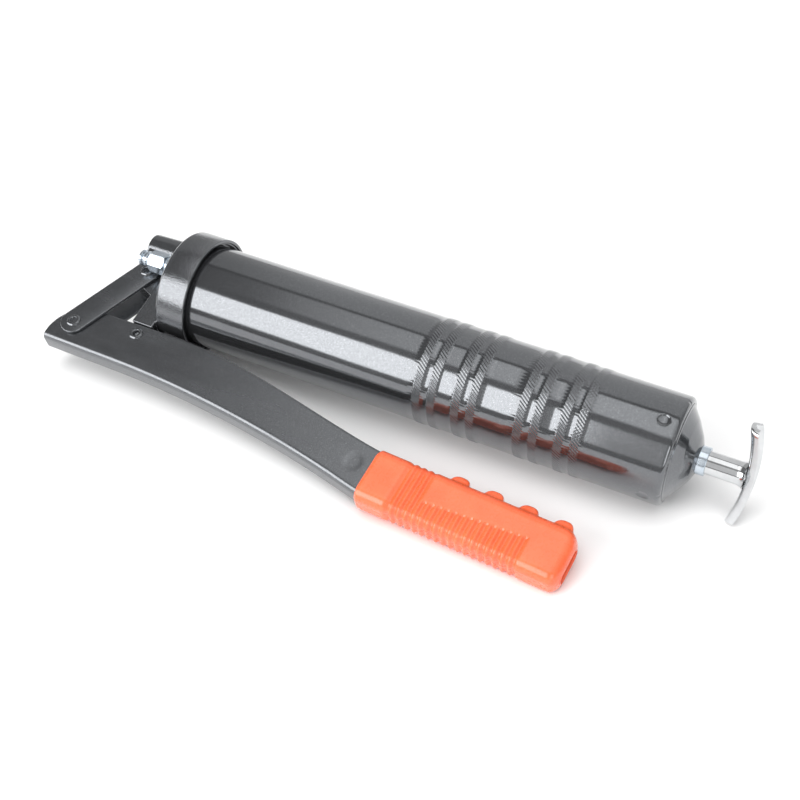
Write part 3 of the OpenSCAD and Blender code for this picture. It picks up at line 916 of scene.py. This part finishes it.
def pull_rod():
    """The rod: a turned-down end for the nut, the shank, and the headed end in the handle."""
    low, high = reach("pull_rod")
    r = high.z
    strip_x = reach("t_handle")[1].x - HANDLE_RIM
    corners = [
        (low.x, r - 1, 0), (low.x + 0.5, r - 0.4, 0.2), (low.x + 4.7, r - 0.4, 0.1), (low.x + 4.7, r, 0.1),
        (strip_x - 2.1, r, 0.2), (strip_x - 2.1, 3.15, 0.1), (strip_x, 3.15, 0.1),
        (high.x, 2.4, 0.5), (high.x, 0.3, 0),
    ]
    return finished("pull_rod_turned", mesh_of(turned(corners)), "rod", CHROME, ["pull_rod"])


def handle_collar():
    """The flare where the rod runs out into the strip."""
    low, high = reach("handle_collar")
    rod_r = reach("pull_rod")[1].z
    flare = []
    for t in np.linspace(0, 1, 14):
        flare.append((low.x + (high.x - low.x) * t, rod_r + 0.02 + (high.z - rod_r) * t**2.6))
    profile = flare + [(high.x, rod_r + 0.01)]
    solid = skin(turned_rows(profile, 72), closed=True)
    return finished("handle_flare", mesh_of(solid), "rod", CHROME, ["handle_collar"], sharp=50)


def t_handle():
    """A bowed strip with a U-shaped gutter that opens away from the rod, and rounded ends."""
    crown = reach("t_handle")[1].x - HANDLE_RIM - 0.05
    across = np.linspace(-1, 1, 25)
    rise = HANDLE_RIM + HANDLE_T - 0.4
    rows = []
    for s in np.linspace(-1, 1, 81):
        along = s * (HANDLE_LEN / 2 - 0.3)
        floor_x = crown - HANDLE_BOW * s * s
        end = max(0.0, (abs(s) - 0.9) / 0.1)
        half_w = HANDLE_W / 2 * (1 - 0.35 * end**3)
        ring = [(floor_x + HANDLE_RIM * abs(k) ** 3, along, k * (half_w - HANDLE_RIM_T)) for k in across]
        ring += [(floor_x - HANDLE_T + rise * abs(k) ** 5, along, k * half_w) for k in across[::-1]]
        rows.append(ring)
    strip = mesh_of(skin(rows))
    strip.transform(Matrix.Rotation(HANDLE_TURN, 4, "X"))
    return finished("t_handle_strip", strip, "rod", CHROME, ["t_handle"], sharp=40)


# ---------------------------------------------------------------- springs


def wound(x0, x1, r, wire, turns, centre, sides=10, per_turn=40):
    """A compression spring along X whose end turns lie flat."""
    count = int(turns * per_turn)
    flat = 1.0 / turns
    dead = 2.1 * wire / (x1 - x0)
    rows = []
    for i in range(count + 1):
        t = i / count
        a = 2 * math.pi * turns * t
        lead = np.interp(t, [0, flat, 1 - flat, 1], [0, dead, 1 - dead, 1])
        x = x0 + (x1 - x0) * lead
        ring = []
        for j in range(sides):
            b = 2 * math.pi * j / sides
            q = r + wire * math.cos(b)
            ring.append((x + wire * math.sin(b), centre.y + q * math.cos(a), centre.z + q * math.sin(a)))
        rows.append(ring)
    return mesh_of(skin(rows))


def spring(name, node, body, wire, turns):
    """A smooth spring in the place of its CAD node, with a mesh of its own."""
    low, high = reach(node)
    centre = middle(node)
    r = (high.z - low.z) / 2 - wire
    mesh = wound(low.x + wire, high.x - wire, r, wire, turns, centre)
    piece = finished(name, mesh, body, SPRING, [node], sharp=60)
    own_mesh(piece)
    return piece


def springs():
    spring("follower_coil", "follower_spring", "follower", 1.3, 14)
    spring("outlet_coil", "outlet_spring", "head", 0.4, 4)
    spring("filler_coil", "filler_spring", "head", 0.35, 6)


# ---------------------------------------------------------------- staging

CAMERA_AT = Vector((346.3, -456.3, 456.9)) * MM
CAMERA_AZIMUTH = math.radians(26.75)
CAMERA_ELEVATION = math.radians(43.64)
CAMERA_LENS = 57.84
FLOOR_NEAR = -0.36
FLOOR_FAR = 6.0
SUN_STRENGTH = 1.5
SUN_ANGLE = math.radians(50)
SUN_TURN = (math.radians(14), math.radians(-8), 0)
TOP_LEVEL = 6


def camera():
    data = bpy.data.cameras.new("camera")
    data.lens = CAMERA_LENS
    data.sensor_width = 36
    data.clip_start = 0.01
    eye = bpy.data.objects.new("camera", data)
    bpy.context.scene.collection.objects.link(eye)
    level = math.cos(CAMERA_ELEVATION)
    back = Vector((
        math.sin(CAMERA_AZIMUTH) * level, -math.cos(CAMERA_AZIMUTH) * level, math.sin(CAMERA_ELEVATION),
    ))
    eye.location = AXIS_POINT + CAMERA_AT
    eye.rotation_euler = back.to_track_quat("Z", "Y").to_euler()
    bpy.context.scene.camera = eye


def floor():
    """A white floor through the collar's and the barrel end's lowest lines. The grip dips slightly into it."""
    fall = math.atan2(COLLAR_R - BARREL_R, SHOULDER_X)
    mesh = bpy.data.meshes.new("floor")
    corners = [(-FLOOR_FAR, FLOOR_NEAR, 0), (FLOOR_FAR, FLOOR_NEAR, 0),
               (FLOOR_FAR, FLOOR_FAR, 0), (-FLOOR_FAR, FLOOR_FAR, 0)]
    mesh.from_pydata(corners, [], [(0, 1, 2, 3)])
    ground = bpy.data.objects.new("floor", mesh)
    bpy.context.scene.collection.objects.link(ground)
    ground.location = AXIS_POINT + Vector((0, 0, -(COLLAR_R + 0.15) * MM))
    ground.rotation_euler = (0, -fall, 0)
    s = Shader("floor_paper")
    colour = s.ramp(s.noise(300, 2), (0.3, 0.88), (0.7, 0.9))
    s.surface.inputs["Roughness"].default_value = 0.75
    mesh.materials.append(s.drive(Base_Color=colour))


def studio_light():
    """Soft boxes round the gun as bands of brightness on the sky, and a wide sun without highlights."""
    world = bpy.data.worlds.new("studio")
    world.use_nodes = True
    nodes = world.node_tree.nodes
    links = world.node_tree.links
    nodes.clear()

    def math_node(operation, a, b=None):
        node = nodes.new("ShaderNodeMath")
        node.operation = operation
        for socket, value in zip(node.inputs, (a, b)):
            if value is None:
                continue
            if isinstance(value, (int, float)):
                socket.default_value = value
            else:
                links.new(value, socket)
        return node.outputs[0]

    def steps(value, span, *stops):
        node = nodes.new("ShaderNodeValToRGB")
        elements = node.color_ramp.elements
        while len(elements) < len(stops):
            elements.new(0.5)
        for element, (at, level) in zip(elements, stops):
            element.position = (at - span[0]) / (span[1] - span[0])
            element.color = (level / TOP_LEVEL,) * 3 + (1,)
        share = math_node("DIVIDE", math_node("SUBTRACT", value, float(span[0])), float(span[1] - span[0]))
        links.new(share, node.inputs["Fac"])
        return math_node("MULTIPLY", node.outputs["Color"], float(TOP_LEVEL))

    split = nodes.new("ShaderNodeSeparateXYZ")
    links.new(nodes.new("ShaderNodeTexCoord").outputs["Generated"], split.inputs[0])
    x, y, z = split.outputs
    forward = math_node("MULTIPLY", y, -1.0)
    height = math_node("MULTIPLY", math_node("ARCTAN2", z, forward), 180 / math.pi)
    turn = (-20, 180)
    wide = (-1, 1)
    front = steps(height, turn, (4, 0), (6, 5.2), (50, 5.2), (52, 0))
    front_reach = steps(
        x, wide, (-0.9, 1), (-0.21, 1), (-0.185, 0.12), (0.4, 0.04), (0.5, 0.6), (0.8, 0.6), (0.85, 0.05),
    )
    over = steps(height, turn, (64, 0), (69, 0.65), (107, 0.65), (109, 0))
    over_reach = steps(x, wide, (-0.45, 0), (-0.41, 1), (-0.3, 1.9), (-0.18, 2.6), (0.1, 1.8), (0.8, 1))
    base = steps(
        height, turn, (0, 0.4), (60, 0.42), (108, 0.4), (109, 0.25), (113, 0.25), (116, 0.95), (180, 1.05),
    )
    base_reach = steps(x, wide, (-0.48, 0.55), (-0.4, 1), (0.3, 1), (0.6, 0.6))
    front = math_node("MULTIPLY", front, front_reach)
    over = math_node("MULTIPLY", over, over_reach)
    base = math_node("MULTIPLY", base, base_reach)
    level = math_node("ADD", math_node("ADD", front, over), base)
    light = nodes.new("ShaderNodeBackground")
    links.new(level, light.inputs["Strength"])
    plain = nodes.new("ShaderNodeBackground")
    plain.inputs["Color"].default_value = (1, 1, 1, 1)
    mix = nodes.new("ShaderNodeMixShader")
    links.new(nodes.new("ShaderNodeLightPath").outputs["Is Camera Ray"], mix.inputs["Fac"])
    links.new(light.outputs[0], mix.inputs[1])
    links.new(plain.outputs[0], mix.inputs[2])
    links.new(mix.outputs[0], nodes.new("ShaderNodeOutputWorld").inputs["Surface"])
    bpy.context.scene.world = world
    data = bpy.data.lights.new("key", "SUN")
    data.energy = SUN_STRENGTH
    data.angle = SUN_ANGLE
    key = bpy.data.objects.new("key", data)
    key.rotation_euler = SUN_TURN
    key.visible_glossy = False
    bpy.context.scene.collection.objects.link(key)
    bpy.context.scene.view_settings.view_transform = "Standard"


camera()
studio_light()
floor()
finish_cad_nodes()
barrel_tube()
end_cap()
rod_bushing()
pump_head()
filler_fitting()
filler_washer()
tubular_rivet("head_rivet_rolled", "head_rivet", "head")
tubular_rivet("link_rivet_rolled", "link_rivet", "links")
tubular_rivet("plunger_rivet_rolled", "plunger_rivet", "lever_arm")
link_plate("link_bar_upper", "link_upper")
link_plate("link_bar_lower", "link_lower")
lever()
grip()
pull_rod()
handle_collar()
t_handle()
springs()
